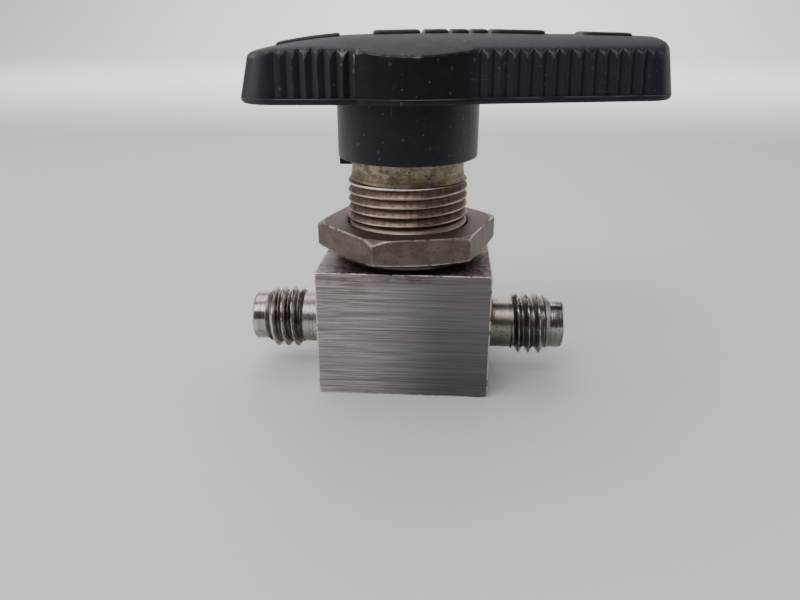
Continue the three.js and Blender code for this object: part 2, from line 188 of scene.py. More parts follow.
def make_world():
    """A studio that is bright behind the valve and dim on the camera's side."""
    world = bpy.data.worlds.new("studio")
    bpy.context.scene.world = world
    world.use_nodes = True
    tree = world.node_tree
    background = tree.nodes["Background"]
    coords = tree.nodes.new("ShaderNodeTexCoord")
    split = tree.nodes.new("ShaderNodeSeparateXYZ")
    spread = tree.nodes.new("ShaderNodeMapRange")
    ramp = tree.nodes.new("ShaderNodeValToRGB")
    tree.links.new(coords.outputs["Generated"], split.inputs[0])
    tree.links.new(split.outputs["Y"], spread.inputs["Value"])
    spread.inputs["From Min"].default_value = -1.0
    tree.links.new(spread.outputs["Result"], ramp.inputs["Fac"])
    tree.links.new(ramp.outputs["Color"], background.inputs["Color"])
    stops = [(0.0, 0.08), (0.30, 0.11), (0.52, 0.75), (1.0, 1.0)]
    elements = ramp.color_ramp.elements
    while len(elements) < len(stops):
        elements.new(0.5)
    for element, (place, value) in zip(elements, stops):
        element.position = place
        element.color = (value, value, value, 1)
    background.inputs["Strength"].default_value = 0.8


def make_floor():
    """A floor that bends up into a wall behind the valve, in metres."""
    size, back, bend, top = 3.0, 1.2, 0.4, 2.0
    rise = [(-size, 0), (back - bend, 0)]
    for angle in np.linspace(0.1, math.pi / 2, 14):
        rise.append((back - bend + bend * math.sin(angle), bend - bend * math.cos(angle)))
    rise.append((back, top))
    vertices = [(x, y, z) for y, z in rise for x in (-size, size)]
    faces = [(2 * i, 2 * i + 1, 2 * i + 3, 2 * i + 2) for i in range(len(rise) - 1)]
    mesh = bpy.data.meshes.new("floor")
    mesh.from_pydata(vertices, [], faces)
    mesh.shade_smooth()
    floor = bpy.data.objects.new("floor", mesh)
    bpy.context.scene.collection.objects.link(floor)
    material = bpy.data.materials.new("floor")
    material.use_nodes = True
    shader = material.node_tree.nodes["Principled BSDF"]
    shader.inputs["Base Color"].default_value = (0.72, 0.73, 0.72, 1)
    shader.inputs["Roughness"].default_value = 0.6
    mesh.materials.append(material)


make_camera()
make_world()
area_light("overhead", (-0.10, 0.25, 0.60), 0.5, 1.6)
area_light("front", (-0.08, -0.27, 0.42), 0.28, 0.9, colour=(1.0, 0.97, 0.95))
area_light("left", (-0.45, -0.22, 0.30), 0.45, 1.5)
area_light("right", (0.42, 0.12, 0.12), 0.30, 0.2)
area_light("wall", (0.0, 0.50, 0.60), 0.8, 14.0, target=(0, 1.2, 0.25))
make_floor()

# ---------------------------------------------------------------- mesh tools


def add_object(name, vertices, faces):
    """A mesh object from millimetre vertices, with its faces pointing out."""
    mesh = bpy.data.meshes.new(name)
    mesh.from_pydata((np.asarray(vertices) * MM).tolist(), [], faces)
    mesh.validate()
    made = bpy.data.objects.new(name, mesh)
    bpy.context.scene.collection.objects.link(made)
    tidy(made)
    return made


def tidy(made):
    """Welds coinciding vertices and turns all faces outwards."""
    work = bmesh.new()
    work.from_mesh(made.data)
    bmesh.ops.remove_doubles(work, verts=work.verts, dist=WELD * MM)
    bmesh.ops.recalc_face_normals(work, faces=work.faces)
    work.to_mesh(made.data)
    work.free()


def shade(made, angle=35):
    """Smooth shading that breaks at edges sharper than angle degrees."""
    made.data.shade_smooth()
    made.data.set_sharp_from_angle(angle=math.radians(angle))


def grid_object(name, points, rows_close=True, cap=False):
    """A surface through rows x columns of points. Columns close round, and rows do too if asked."""
    rows, columns = points.shape[:2]
    faces = []
    for row in range(rows if rows_close else rows - 1):
        a, b = row * columns, (row + 1) % rows * columns
        for column in range(columns):
            after = (column + 1) % columns
            faces.append((a + column, a + after, b + after, b + column))
    if cap:
        faces.append(tuple(range(columns)))
        faces.append(tuple(range((rows - 1) * columns, rows * columns)))
    return add_object(name, points.reshape(-1, 3), faces)


def curve(start, corner, end, s):
    """The point at share s of the round between start and end of a corner."""
    return (1 - s) ** 2 * start + 2 * s * (1 - s) * corner + s ** 2 * end


def rounded(corners):
    """A closed outline through (radius, height, fillet) corners, with each fillet as a short curve."""
    outline = []
    for index, (radius, height, fillet) in enumerate(corners):
        here = np.array((radius, height), float)
        if fillet <= 0:
            outline.append(here)
            continue
        before = np.array(corners[index - 1][:2], float) - here
        after = np.array(corners[(index + 1) % len(corners)][:2], float) - here
        start = here + before / np.linalg.norm(before) * fillet
        end = here + after / np.linalg.norm(after) * fillet
        outline += [curve(start, here, end, s) for s in np.linspace(0, 1, 5)]
    return outline


def boolean(target, tool, operation):
    """Cuts or joins target with tool, which is used up."""
    modifier = target.modifiers.new("cut", "BOOLEAN")
    modifier.solver = "MANIFOLD"
    modifier.operation = operation
    modifier.object = tool
    graph = bpy.context.evaluated_depsgraph_get()
    mesh = bpy.data.meshes.new_from_object(target.evaluated_get(graph))
    target.modifiers.remove(modifier)
    old, target.data = target.data, mesh
    bpy.data.meshes.remove(old)
    bpy.data.objects.remove(tool)
    return target


def cylinder(name, radius, low, high, columns=96):
    return lathe(name, [(0, low), (radius, low), (radius, high), (0, high)], columns, cap=True)


def lathe(name, profile, columns=128, cap=False, radius_at=None):
    """Turns (radius, height) points about Z. radius_at(radii, heights, angles) may reshape the radii."""
    angles = np.linspace(0, TURN, columns, endpoint=False)
    profile = np.array(profile, float)
    radii = np.repeat(profile[:, :1], columns, axis=1)
    heights = np.repeat(profile[:, 1:2], columns, axis=1)
    spin = np.repeat(angles[None, :], len(profile), axis=0)
    if radius_at:
        radii = radius_at(radii, heights, spin)
    points = np.stack([radii * np.cos(spin), radii * np.sin(spin), heights], axis=2)
    if cap:
        return grid_object(name, points[1:-1], rows_close=False, cap=True)
    return grid_object(name, points)


def turn_object(made, matrix):
    """Moves a mesh inside its object."""
    made.data.transform(matrix)
    return made


def thread_height(turns, crest=0.125, root=0.75):
    """0 at the root and 1 at the crest, for a place counted in turns from a crest."""
    away = np.abs((turns + 0.5) % 1.0 - 0.5) * 2
    return np.clip((root - away) / (root - crest), 0, 1)


# ---------------------------------------------------------------- valve body


def rounded_block(name, low, high, radius, spacing=0.25):
    """A box with rounded edges, as a fine grid on each face."""
    half = (np.array(high) - np.array(low)) / 2
    centre = (np.array(high) + np.array(low)) / 2
    near_edge = np.array([0, 0.4, 0.75, 1.0]) * radius

    def marks(h):
        inner = np.arange(-h + radius, h - radius + spacing / 2, spacing)
        inner = np.linspace(-h + radius, h - radius, len(inner))[1:-1]
        return np.concatenate([-h + near_edge, inner, (h - near_edge)[::-1]])

    vertices, faces = [], []
    for axis in range(3):
        u, v = (axis + 1) % 3, (axis + 2) % 3
        us, vs = marks(half[u]), marks(half[v])
        for side in (-1, 1):
            grid = np.zeros((len(us), len(vs), 3))
            grid[:, :, axis] = side * half[axis]
            grid[:, :, u] = us[:, None]
            grid[:, :, v] = vs[None, :]
            inside = np.clip(grid, -(half - radius), half - radius)
            out = grid - inside
            length = np.linalg.norm(out, axis=2, keepdims=True)
            grid = inside + out / length * radius
            base = len(vertices)
            vertices.extend(grid.reshape(-1, 3) + centre)
            for i in range(len(us) - 1):
                for j in range(len(vs) - 1):
                    a = base + i * len(vs) + j
                    faces.append((a, a + 1, a + len(vs) + 1, a + len(vs)))
    return add_object(name, vertices, faces)


def fitting(name, first_crest):
    """One male tube-fitting end, standing on Z with its nose up and its first full crest at that height."""
    end = FITTING_END
    thread_heights = np.arange(THREAD_START - 0.4, THREAD_END + 0.4, FITTING_PITCH / 18)
    flare = [(NECK_R + NECK_FLARE * (1 - s) ** 2, BLOCK_WIDTH / 2 + s * 0.7) for s in np.linspace(0, 1, 6)]
    profile = [(NECK_R + NECK_FLARE, FITTING_ROOT)] + flare
    profile += [(NECK_R, h) for h in np.linspace(11.2, THREAD_START - 0.5, 6)]
    profile += [(FITTING_ROOT_R, h) for h in thread_heights]
    profile += [(NOSE_R, THREAD_END + 0.5)]
    profile += rounded([
        (NOSE_R, THREAD_END + 0.5, 0),
        (NOSE_R, end - 0.18, 0.08),
        (NOSE_R - 0.18, end, 0.08),
        (MOUTH_R, end, 0.06),
        (SOCKET_R, end - MOUTH_DEPTH, 0.1),
    ])[1:]
    profile += [(SOCKET_R, end - SOCKET_DEPTH), (FLOW_BORE_R, end - SOCKET_DEPTH - 0.4)]
    profile += [(FLOW_BORE_R, FITTING_ROOT)]

    def radius_at(radii, heights, angles):
        turns = (heights - first_crest) / FITTING_PITCH - angles / TURN
        crest = FITTING_ROOT_R + (FITTING_CREST_R - FITTING_ROOT_R) * thread_height(turns, 0.08, 0.9)
        rise = NECK_R + (heights - THREAD_START + 0.3) * THREAD_RISE
        fall = NOSE_R + (THREAD_END + 0.15 - heights) * THREAD_FALL
        shaped = np.minimum(crest, np.minimum(rise, fall))
        floor = np.where(heights > THREAD_END - 0.1, NOSE_R, 0)
        floor = np.where(heights < THREAD_START + 0.1, NECK_R, floor)
        in_thread = (heights > THREAD_START - 0.45) & (heights < THREAD_END + 0.45) & (radii > 2.5)
        return np.where(in_thread, np.maximum(shaped, floor), radii)

    return lathe(name, profile, columns=160, radius_at=radius_at)


def lay_along(made, side):
    """Lays a piece that stands on Z along the flow axis, towards side."""
    turn = Matrix.Rotation(math.radians(90), 4, "Y")
    if side < 0:
        turn = Matrix.Rotation(math.pi, 4, "Z") @ turn
    return turn_object(made, Matrix.Translation((0, 0, FLOW_Z * MM)) @ turn)


def make_body():
    """The block with its chamber, tapped bore, fittings and passage."""
    low = (-BLOCK_WIDTH / 2, body_low[1], body_low[2])
    high = (BLOCK_WIDTH / 2, body_high[1], body_high[2])
    body = rounded_block("valve_body_shell", low, high, BLOCK_EDGE)
    passage = cylinder("passage", FLOW_BORE_R, -BLOCK_WIDTH, BLOCK_WIDTH, 64)
    tapping = cylinder("tapping", TAPPING_R, CHAMBER_Z[1] - 0.01, body_high[2] + 1, 128)
    boolean(body, cylinder("chamber", CHAMBER_R, *CHAMBER_Z), "DIFFERENCE")
    boolean(body, tapping, "DIFFERENCE")
    for side, first_crest in FITTING_SIDES:
        boolean(body, lay_along(fitting("end", first_crest), side), "UNION")
    boolean(body, lay_along(passage, 1), "DIFFERENCE")
    shade(body, 40)
    return body


# ---------------------------------------------------------------- packing bolt and nut


def collar_radius(heights):
    """The collar flares a little towards the thread."""
    share = np.clip((heights - COLLAR_Z) / COLLAR_FLARE_HEIGHT, 0, 1)
    return COLLAR_R + COLLAR_FLARE * (1 - share) ** 2


def make_bolt():
    """The threaded bolt with its collar, and the recess that the stop tab runs in."""
    low, high = float(bolt_low[2]), float(bolt_high[2])
    thread = [(BOLT_ROOT_R, h) for h in np.arange(low + 0.1, COLLAR_Z + 0.15, BOLT_PITCH / 16)]
    profile = [(SPRING_POCKET_R, low), (BOLT_START_R, low)] + thread
    profile += [(collar_radius(h), h) for h in np.linspace(COLLAR_Z + 0.2, RECESS_Z - 0.1, 12)]
    profile += rounded([
        (COLLAR_R, RECESS_Z - 0.05, 0),
        (COLLAR_R, high, 0.25),
        (BUSHING_POCKET_R, high, 0.1),
        (BUSHING_POCKET_R, BUSHING_POCKET_Z, 0),
        (STEM_BORE_R, BUSHING_POCKET_Z, 0.1),
        (STEM_BORE_R, SPRING_POCKET_Z, 0),
        (SPRING_POCKET_R, SPRING_POCKET_Z, 0),
    ])

    def radius_at(radii, heights, angles):
        turns = (heights - BOLT_CREST_Z) / BOLT_PITCH - (angles / TURN - 0.75)
        crest = BOLT_ROOT_R + (BOLT_CREST_R - BOLT_ROOT_R) * thread_height(turns, 0.11, 0.85)
        fall = collar_radius(heights) + (COLLAR_Z + 0.12 - heights) * BOLT_FALL
        rise = BOLT_START_R + (heights - low) * BOLT_RISE
        shaped = np.maximum(np.minimum(crest, np.minimum(fall, rise)), BOLT_START_R)
        shaped = np.where(heights > COLLAR_Z, collar_radius(heights), shaped)
        in_thread = (heights < COLLAR_Z + 0.16) & (radii > BOLT_ROOT_R - 0.1)
        return np.where(in_thread, shaped, radii)

    bolt = lathe("packing_bolt_threaded", profile, columns=224, radius_at=radius_at)
    boolean(bolt, stop_recess(), "DIFFERENCE")
    shade(bolt, 50)
    return bolt


def sector(name, inner, outer, start, end, low, high, steps=48):
    """A piece of ring between two angles."""
    angles = np.linspace(start, end, steps)
    outline = [(outer * math.cos(a), outer * math.sin(a)) for a in angles]
    outline += [(inner * math.cos(a), inner * math.sin(a)) for a in angles[::-1]]
    count = len(outline)
    vertices = [(x, y, z) for z in (low, high) for x, y in outline]
    faces = [tuple(range(count)), tuple(range(2 * count - 1, count - 1, -1))]
    faces += [(i, (i + 1) % count, (i + 1) % count + count, i + count) for i in range(count)]
    return add_object(name, vertices, faces)


def stop_recess():
    """What the collar loses for the tab's travel."""
    travel = [math.radians(value) for value in joint("lever_turn")["range_deg"]]
    start = TAB_ANGLES[0] + travel[0] - STOP_CLEARANCE
    end = TAB_ANGLES[1] + travel[1] + STOP_CLEARANCE
    return sector("recess", RECESS_R, COLLAR_R + 1, start, end, RECESS_Z, float(bolt_high[2]) + 1, 96)


def hex_radius(angles):
    """Distance from the centre to the nut's side, with slightly rounded corners."""
    corner = 0.02
    wedge = (angles - NUT_CLOCKING) % (TURN / 6) - TURN / 12
    sharp = NUT_FLATS / 2 / np.cos(wedge)
    limit = NUT_CORNER_R - 0.05
    return -np.log(np.exp(-(sharp - limit) / corner) + 1) * corner + limit


def make_nut():
    """The hexagon with its washer face, chamfered corners and bore, as rows from the bore round and back."""
    low, high = float(nut_low[2]), float(nut_high[2])
    near_corner = np.array([0.0, 0.25, 0.5, 0.8, 1.2, 1.8])
    across = np.concatenate([near_corner, np.arange(2.6, 57.5, 1.0), 60 - near_corner[:0:-1]])
    angles = np.radians([60 * wedge + angle for wedge in range(6) for angle in across]) + NUT_CLOCKING
    side = hex_radius(angles)
    slope_down = (NUT_CORNER_Z - NUT_WASHER_Z) / (NUT_CORNER_R - NUT_WASHER_R)
    worn_corner = np.maximum(np.cos(angles - NUT_CLOCKING - 4 * TURN / 6), 0) ** 4
    cut = NUT_CORNER_CUT + NUT_DEEP_CUT * worn_corner
    slope_up = cut / (NUT_CORNER_R - NUT_CHAMFER_R)
    lower = NUT_WASHER_Z + (side - NUT_WASHER_R) * slope_down
    upper = high - np.maximum(side - NUT_CHAMFER_R, 0) * slope_up
    round_r = 0.1
    top_start = np.minimum(side - 0.35, NUT_CHAMFER_R)
    rows = [
        (NUT_BORE_R, low + 0.3),
        (NUT_BORE_R + 0.3, low),
        (NUT_WASHER_R - 0.15, low + 0.15),
        (NUT_WASHER_R, low + 0.27),
        (NUT_WASHER_R, NUT_WASHER_Z - 0.08),
        (NUT_WASHER_R + 0.05, NUT_WASHER_Z + 0.02),
        (side - 0.12, lower - 0.04),
        (side - 0.03, lower + 0.02),
        (side, lower + 0.12),
        (side, lower + 0.4),
        (side, (lower + upper) / 2),
        (side, upper - 0.4),
        (side, upper - round_r),
        (side - 0.03, upper - 0.03),
        (side - 0.1, upper + np.minimum(0.1, np.maximum(side - NUT_CHAMFER_R, 0)) * slope_up),
        (side - 0.3, high - np.maximum(side - 0.3 - NUT_CHAMFER_R, 0) * slope_up),
        (top_start, high),
        (top_start - 0.3, high),
        (NUT_BORE_R + 0.9, high),
        (NUT_BORE_R + 0.16, high),
        (NUT_BORE_R + 0.12, high - 0.03),
        (NUT_BORE_R, high - 0.15),
    ]
    points = np.stack([
        np.stack([radius * np.cos(angles), radius * np.sin(angles), height + 0 * angles], axis=1)
        for radius, height in rows
    ])
    nut = grid_object("panel_nut_hexagon", points)
    shade(nut, 50)
    return nut


# ---------------------------------------------------------------- handle


def ridge_height(x):
    """Height of the crown's ridge along the lever."""
    fall = LEFT_FALL[1] * np.maximum(0, LEFT_FALL[0] - x) ** 2
    fall = fall + RIGHT_FALL[1] * np.maximum(0, x - RIGHT_FALL[0]) ** 2
    swell = RIDGE_SWELL * np.clip(1 - ((x - SWELL_MIDDLE) / SWELL_REACH) ** 2, 0, 1)
    return RIDGE_Z + swell - fall


def edge_height(x):
    """Height of the crown where it meets the sides."""
    rise = np.clip((-6.5 - x) / 4.0, 0, 1)
    return np.minimum(EDGE_Z + LEFT_EDGE_RISE * rise * rise * (3 - 2 * rise), ridge_height(x) - 0.2)


def arm_half_width(x):
    """The arms taper from the stem to both ends."""
    left = CENTRE_HALF + (CENTRE_HALF - LEFT_HALF) / LEFT_X * -x
    right = CENTRE_HALF - (CENTRE_HALF - RIGHT_HALF) / RIGHT_X * x
    return np.where(x < 0, left, right)


def crown_height(x, y):
    ridge = ridge_height(x)
    return ridge - (ridge - edge_height(x)) * np.abs(y / arm_half_width(x)) ** CROWN_POWER


def groove_places():
    for first, step, count in (LEFT_GROOVES, RIGHT_GROOVES):
        for index in range(count):
            yield first + index * step, abs(step)


def groove_depth(x):
    """Depth of the V grooves in the sides: side by side, with a narrow land between two."""
    depth = np.zeros_like(x)
    for place, pitch in groove_places():
        away = np.abs(x - place) / (pitch / 2)
        depth = np.maximum(depth, GROOVE_DEPTH * np.clip((GROOVE_SHARE - away) / GROOVE_SHARE, 0, 1))
    left_fade = np.clip((x - LEFT_X - CORNER_R) / 3, 0.45, 1)
    right_fade = np.clip((RIGHT_X - CORNER_R - x) / 0.4, 0, 1)
    return depth * (left_fade * right_fade)


def side_marks(x_start, x_end):
    """Places along a side: even steps, and each groove's floor, slopes and edges."""
    marks = list(np.linspace(x_start, x_end, 60))
    for place, pitch in groove_places():
        marks += [place + part * pitch for part in (-0.5, -0.47, -0.3, -0.15, 0, 0.15, 0.3, 0.47)]
    marks += [-BOSS_HALF_LENGTH, BOSS_HALF_LENGTH]
    marks = np.unique(np.round(marks, 3))
    return marks[(marks >= x_start) & (marks <= x_end)]


def boss_bulge(x):
    """How much of the boss's bulge there is at x: 0 at its ends and 1 at its middle."""
    reach = np.where(x < BOSS_MIDDLE, BOSS_HALF_LENGTH + BOSS_MIDDLE, BOSS_HALF_LENGTH - BOSS_MIDDLE)
    return np.clip(1 - ((x - BOSS_MIDDLE) / reach) ** 2, 0, 1)


def lever_outline():
    """Plan outline of the lever: place, outward direction and groove depth of each point."""
    xs = side_marks(LEFT_X + CORNER_R, RIGHT_X - CORNER_R)
    width = arm_half_width(xs) + BOSS_BULGE * boss_bulge(xs)
    side = np.stack([xs, width, 0 * xs, 0 * xs + 1, groove_depth(xs)], axis=1)
    mirror = np.array([1, -1, 1, -1, 1])
    left = end_cap(LEFT_X, arm_half_width(LEFT_X + CORNER_R), -1)
    right = end_cap(RIGHT_X, arm_half_width(RIGHT_X - CORNER_R), 1)
    return np.concatenate([side[::-1], left, side * mirror, right[::-1]])


def end_cap(end_x, half, side):
    """The lever's end, from +Y to -Y: a round corner, a straight stretch and a round corner."""
    angles = np.linspace(0, math.pi / 2, 9)[1:]
    corner = np.stack([
        end_x - side * CORNER_R * (1 - np.sin(angles)),
        half - CORNER_R * (1 - np.cos(angles)),
        side * np.sin(angles),
        np.cos(angles),
        0 * angles,
    ], axis=1)
    ys = np.linspace(half - CORNER_R, -half + CORNER_R, 11)[1:-1]
    across = np.stack([0 * ys + end_x, ys, 0 * ys + side, 0 * ys, 0 * ys], axis=1)
    return np.concatenate([corner, across, corner[::-1] * np.array([1, -1, 1, -1, 1])])


def lever_rows():
    """Rows of points over the lever, from the middle of its underside to the crown's ridge."""
    x, y, nx, ny, groove = lever_outline().T
    end = np.abs(nx)
    draft = DRAFT + (np.where(nx < 0, LEFT_DRAFT, RIGHT_DRAFT) - DRAFT) * end
    boss = np.clip((BOSS_HALF_LENGTH - np.abs(x)) / 0.3, 0, 1)
    fillet = ARM_FILLET + (BOSS_FILLET - ARM_FILLET) * boss
    fillet = fillet + (np.where(nx < 0, LEFT_FILLET, RIGHT_FILLET) - ARM_FILLET) * end
    spine_x = np.clip(x, LEFT_X + 7, RIGHT_X - 6.5)
    rows = []

    def add(out, z):
        rows.append(np.stack([x + nx * out, y + ny * out, z + 0 * x], axis=1))

    def wall(z, inset):
        """How far out the wall stands at height z, cut in by inset. The lip ends in the end walls."""
        return LIP * end - (z - LIP_TOP) * draft - inset

    def shoulder(inset):
        return fillet - np.sqrt(np.maximum(fillet ** 2 - np.maximum(fillet - inset, 0) ** 2, 0))

    def top(out, inset):
        return crown_height(x + nx * out, y + ny * out) - shoulder(inset)

    base_round = 0.15 + 0.35 * end
    rim = LIP - base_round
    for share in (0.0, 0.3, 0.7, 0.93):
        px, py = x + nx * rim, y + ny * rim
        rows.append(np.stack([spine_x + (px - spine_x) * share, py * share, LEVER_Z + 0 * x], axis=1))
    for angle in np.linspace(0, math.pi / 2, 4):
        add(rim + base_round * math.sin(angle), LEVER_Z + base_round * (1 - math.cos(angle)))
    add(LIP + 0 * x, LIP_TOP - 0.1)
    add(LIP - 0.04 * (1 - end), LIP_TOP - 0.03)
    add(LIP - 0.12 * (1 - end), LIP_TOP)
    edge = np.full(len(x), EDGE_Z)
    for _ in range(30):
        edge = top(wall(edge, groove), groove)
    for share in np.linspace(0, 1, 12):
        z = LIP_TOP + 0.02 + (edge - LIP_TOP - 0.02) * share
        add(wall(z, groove), z)
    for share in (0.06, 0.16, 0.32, 0.5, 0.7, 1.0):
        inset = groove + np.maximum(fillet - groove, 0.03) * share
        out = wall(edge, inset)
        add(out, top(out, inset))
    ex, ey = rows[-1][:, 0], rows[-1][:, 1]
    for share in (0.03, 0.08, 0.16, 0.3, 0.45, 0.6, 0.75, 0.88, 1.0):
        px, py = ex + (spine_x - ex) * share, ey * (1 - share)
        rows.append(np.stack([px, py, crown_height(px, py)], axis=1))
    return np.stack(rows)


def hub_ring():
    """The hub with its stop tab, and the lug inside it that runs in the recess."""
    joined_z = LEVER_Z + 0.8
    lug_top = HUB_BORE_TOP + 0.5
    tab_z = float(handle_low[2])
    hub = lathe("hub", rounded([
        (HUB_TOP_R, joined_z, 0),
        (INSERT_POCKET_R, joined_z, 0),
        (INSERT_POCKET_R, HUB_BORE_TOP, 0.1),
        (HUB_BORE_R, HUB_BORE_TOP, 0),
        (HUB_BORE_R, HUB_Z, 0.2),
        (HUB_BOTTOM_R, HUB_Z, 0.25),
    ]), columns=160)
    tab = sector("tab", HUB_BORE_R - 0.15, HUB_BOTTOM_R - 0.02, *TAB_ANGLES, tab_z, lug_top)
    lug = sector("lug", RECESS_R + 0.3, HUB_BOTTOM_R - 1, *TAB_ANGLES, RECESS_Z + 0.3, lug_top)
    boolean(hub, tab, "UNION")
    boolean(hub, lug, "UNION")
    return turn_object(hub, Matrix.Rotation(-LEVER_ANGLE, 4, "Z"))


def make_handle():
    """Lever and hub in one piece, with the pocket for the insert and the hole for the set screw."""
    handle = grid_object("handle_lever", lever_rows(), rows_close=False)
    hub = hub_ring()
    pocket = cylinder("pocket", INSERT_POCKET_R, LEVER_Z - 1, insert_high[2] + 0.3)
    boolean(handle, pocket, "DIFFERENCE")
    boolean(handle, hub, "UNION")
    boolean(handle, screw_hole(), "DIFFERENCE")
    turn_object(handle, Matrix.Rotation(LEVER_ANGLE, 4, "Z"))
    shade(handle, 30)
    return handle


def lay_in_hub(made):
    """Lays a piece that stands on Z along the set screw's axis, in the lever's own frame."""
    turn = Matrix.Rotation(math.radians(-90), 4, "X")
    return turn_object(made, Matrix.Translation((0, 0, SCREW_Z * MM)) @ turn)


def screw_hole():
    return lay_in_hub(cylinder("screw_hole", SCREW_HOLE_R, 0, HUB_TOP_R + 1.5, 48))


def make_screw():
    """A threaded screw with a cone point and a hexagonal socket, lying in the hub."""
    profile = [(0, SCREW_TIP), (SCREW_POINT_R, SCREW_TIP), (SCREW_ROOT_R, SCREW_TIP + 0.45)]
    profile += [(SCREW_ROOT_R, h) for h in np.arange(SCREW_TIP + 0.5, SCREW_HEAD - 0.25, SCREW_PITCH / 10)]
    profile += [(SCREW_ROOT_R, SCREW_HEAD - 0.2), (SCREW_ROOT_R - 0.2, SCREW_HEAD)]
    profile += [(SOCKET_HALF + 0.25, SCREW_HEAD), (SOCKET_HALF, SCREW_HEAD - 0.15)]
    profile += [(SOCKET_HALF, SCREW_HEAD - 0.8), (SOCKET_HALF, SCREW_HEAD - SCREW_SOCKET)]
    profile += [(0, SCREW_HEAD - SCREW_SOCKET)]

    def radius_at(radii, heights, angles):
        in_thread = (heights > SCREW_TIP + 0.47) & (heights < SCREW_HEAD - 0.22) & (radii > 1)
        crest = thread_height(heights / SCREW_PITCH - angles / TURN, 0.1, 0.9)
        threaded = SCREW_ROOT_R + (SCREW_CREST_R - SCREW_ROOT_R) * crest
        socket = SOCKET_HALF / np.cos(angles % (TURN / 6) - TURN / 12)
        return np.where(in_thread, threaded, np.where(radii == SOCKET_HALF, socket, radii))

    screw = lathe("set_screw_socket", profile, columns=72, cap=True, radius_at=radius_at)
    lay_in_hub(screw)
    turn_object(screw, Matrix.Rotation(LEVER_ANGLE, 4, "Z"))
    shade(screw, 35)
    return screw


def pad_outline(start, end):
    """A bar's plan: four round corners, each followed by a straight side."""
    half = PAD_HALF_WIDTH
    corners = np.array([(start, -half), (end, -half), (end, half), (start, half)])
    outline = []
    for index, here in enumerate(corners):
        following = corners[(index + 1) % 4]
        before = corners[index - 1] - here
        after = following - here
        first = here + before / np.linalg.norm(before) * PAD_CORNER_R
        last = here + after / np.linalg.norm(after) * PAD_CORNER_R
        outline += [curve(first, here, last, s) for s in np.linspace(0, 1, 5)]
        side_end = following - after / np.linalg.norm(after) * PAD_CORNER_R
        outline += [last + (side_end - last) * s for s in np.linspace(0, 1, 10)[1:-1]]
    return np.array(outline)


def make_pads():
    """Plain raised bars along the lever's crown, the two at its ends lower than the rest."""
    pads = []
    for start, end in PAD_SPANS:
        at_end = (start, end) in (PAD_SPANS[0], PAD_SPANS[-1])
        height = END_PAD_HEIGHT if at_end else PAD_HEIGHT
        outline = pad_outline(start, end)
        centre = np.array([(start + end) / 2, 0])
        rows = []
        for inset, share in ((0, -1.5), (0, 0.25), (0.06, 0.6), (0.15, 0.85), (0.3, 0.97), (0.5, 1.0)):
            shrink = 1 - inset / np.array([(end - start) / 2, PAD_HALF_WIDTH])
            x, y = (centre + (outline - centre) * shrink).T
            rows.append(np.stack([x, y, crown_height(x, y) + height * share], axis=1))
        pads.append(grid_object("pad", np.stack(rows), rows_close=False, cap=True))
    return pads


body = make_body()
bolt = make_bolt()
nut = make_nut()
handle = make_handle()
pads = make_pads()
screw = make_screw()
for index, pad in enumerate(pads):
    turn_object(pad, Matrix.Rotation(LEVER_ANGLE, 4, "Z"))
    pad.name = f"handle_pad_{index + 1}"
    shade(pad, 30)

# ---------------------------------------------------------------- materials


def paint_edges(made):
    """Stores how convex each vertex is as the attribute edge: above 0 on corners, below 0 in hollows."""
    mesh = made.data
    places = np.empty(len(mesh.vertices) * 3)
    normals = np.empty(len(mesh.vertices) * 3, np.float32)
    ends = np.empty(len(mesh.edges) * 2, np.int32)
    mesh.vertices.foreach_get("co", places)
    mesh.vertex_normals.foreach_get("vector", normals)
    mesh.edges.foreach_get("vertices", ends)
    places, normals, ends = places.reshape(-1, 3), normals.reshape(-1, 3), ends.reshape(-1, 2)
    along = places[ends[:, 1]] - places[ends[:, 0]]
    along /= np.maximum(np.linalg.norm(along, axis=1, keepdims=True), 1e-9)
    total = np.zeros((len(places), 3))
    count = np.zeros(len(places))
    for column, sign in ((0, 1), (1, -1)):
        np.add.at(total, ends[:, column], along * sign)
        np.add.at(count, ends[:, column], 1)
    convex = -(total * normals).sum(1) / np.maximum(count, 1)
    attribute = mesh.attributes.new("edge", "FLOAT", "POINT")
    attribute.data.foreach_set("value", convex.astype(np.float32))


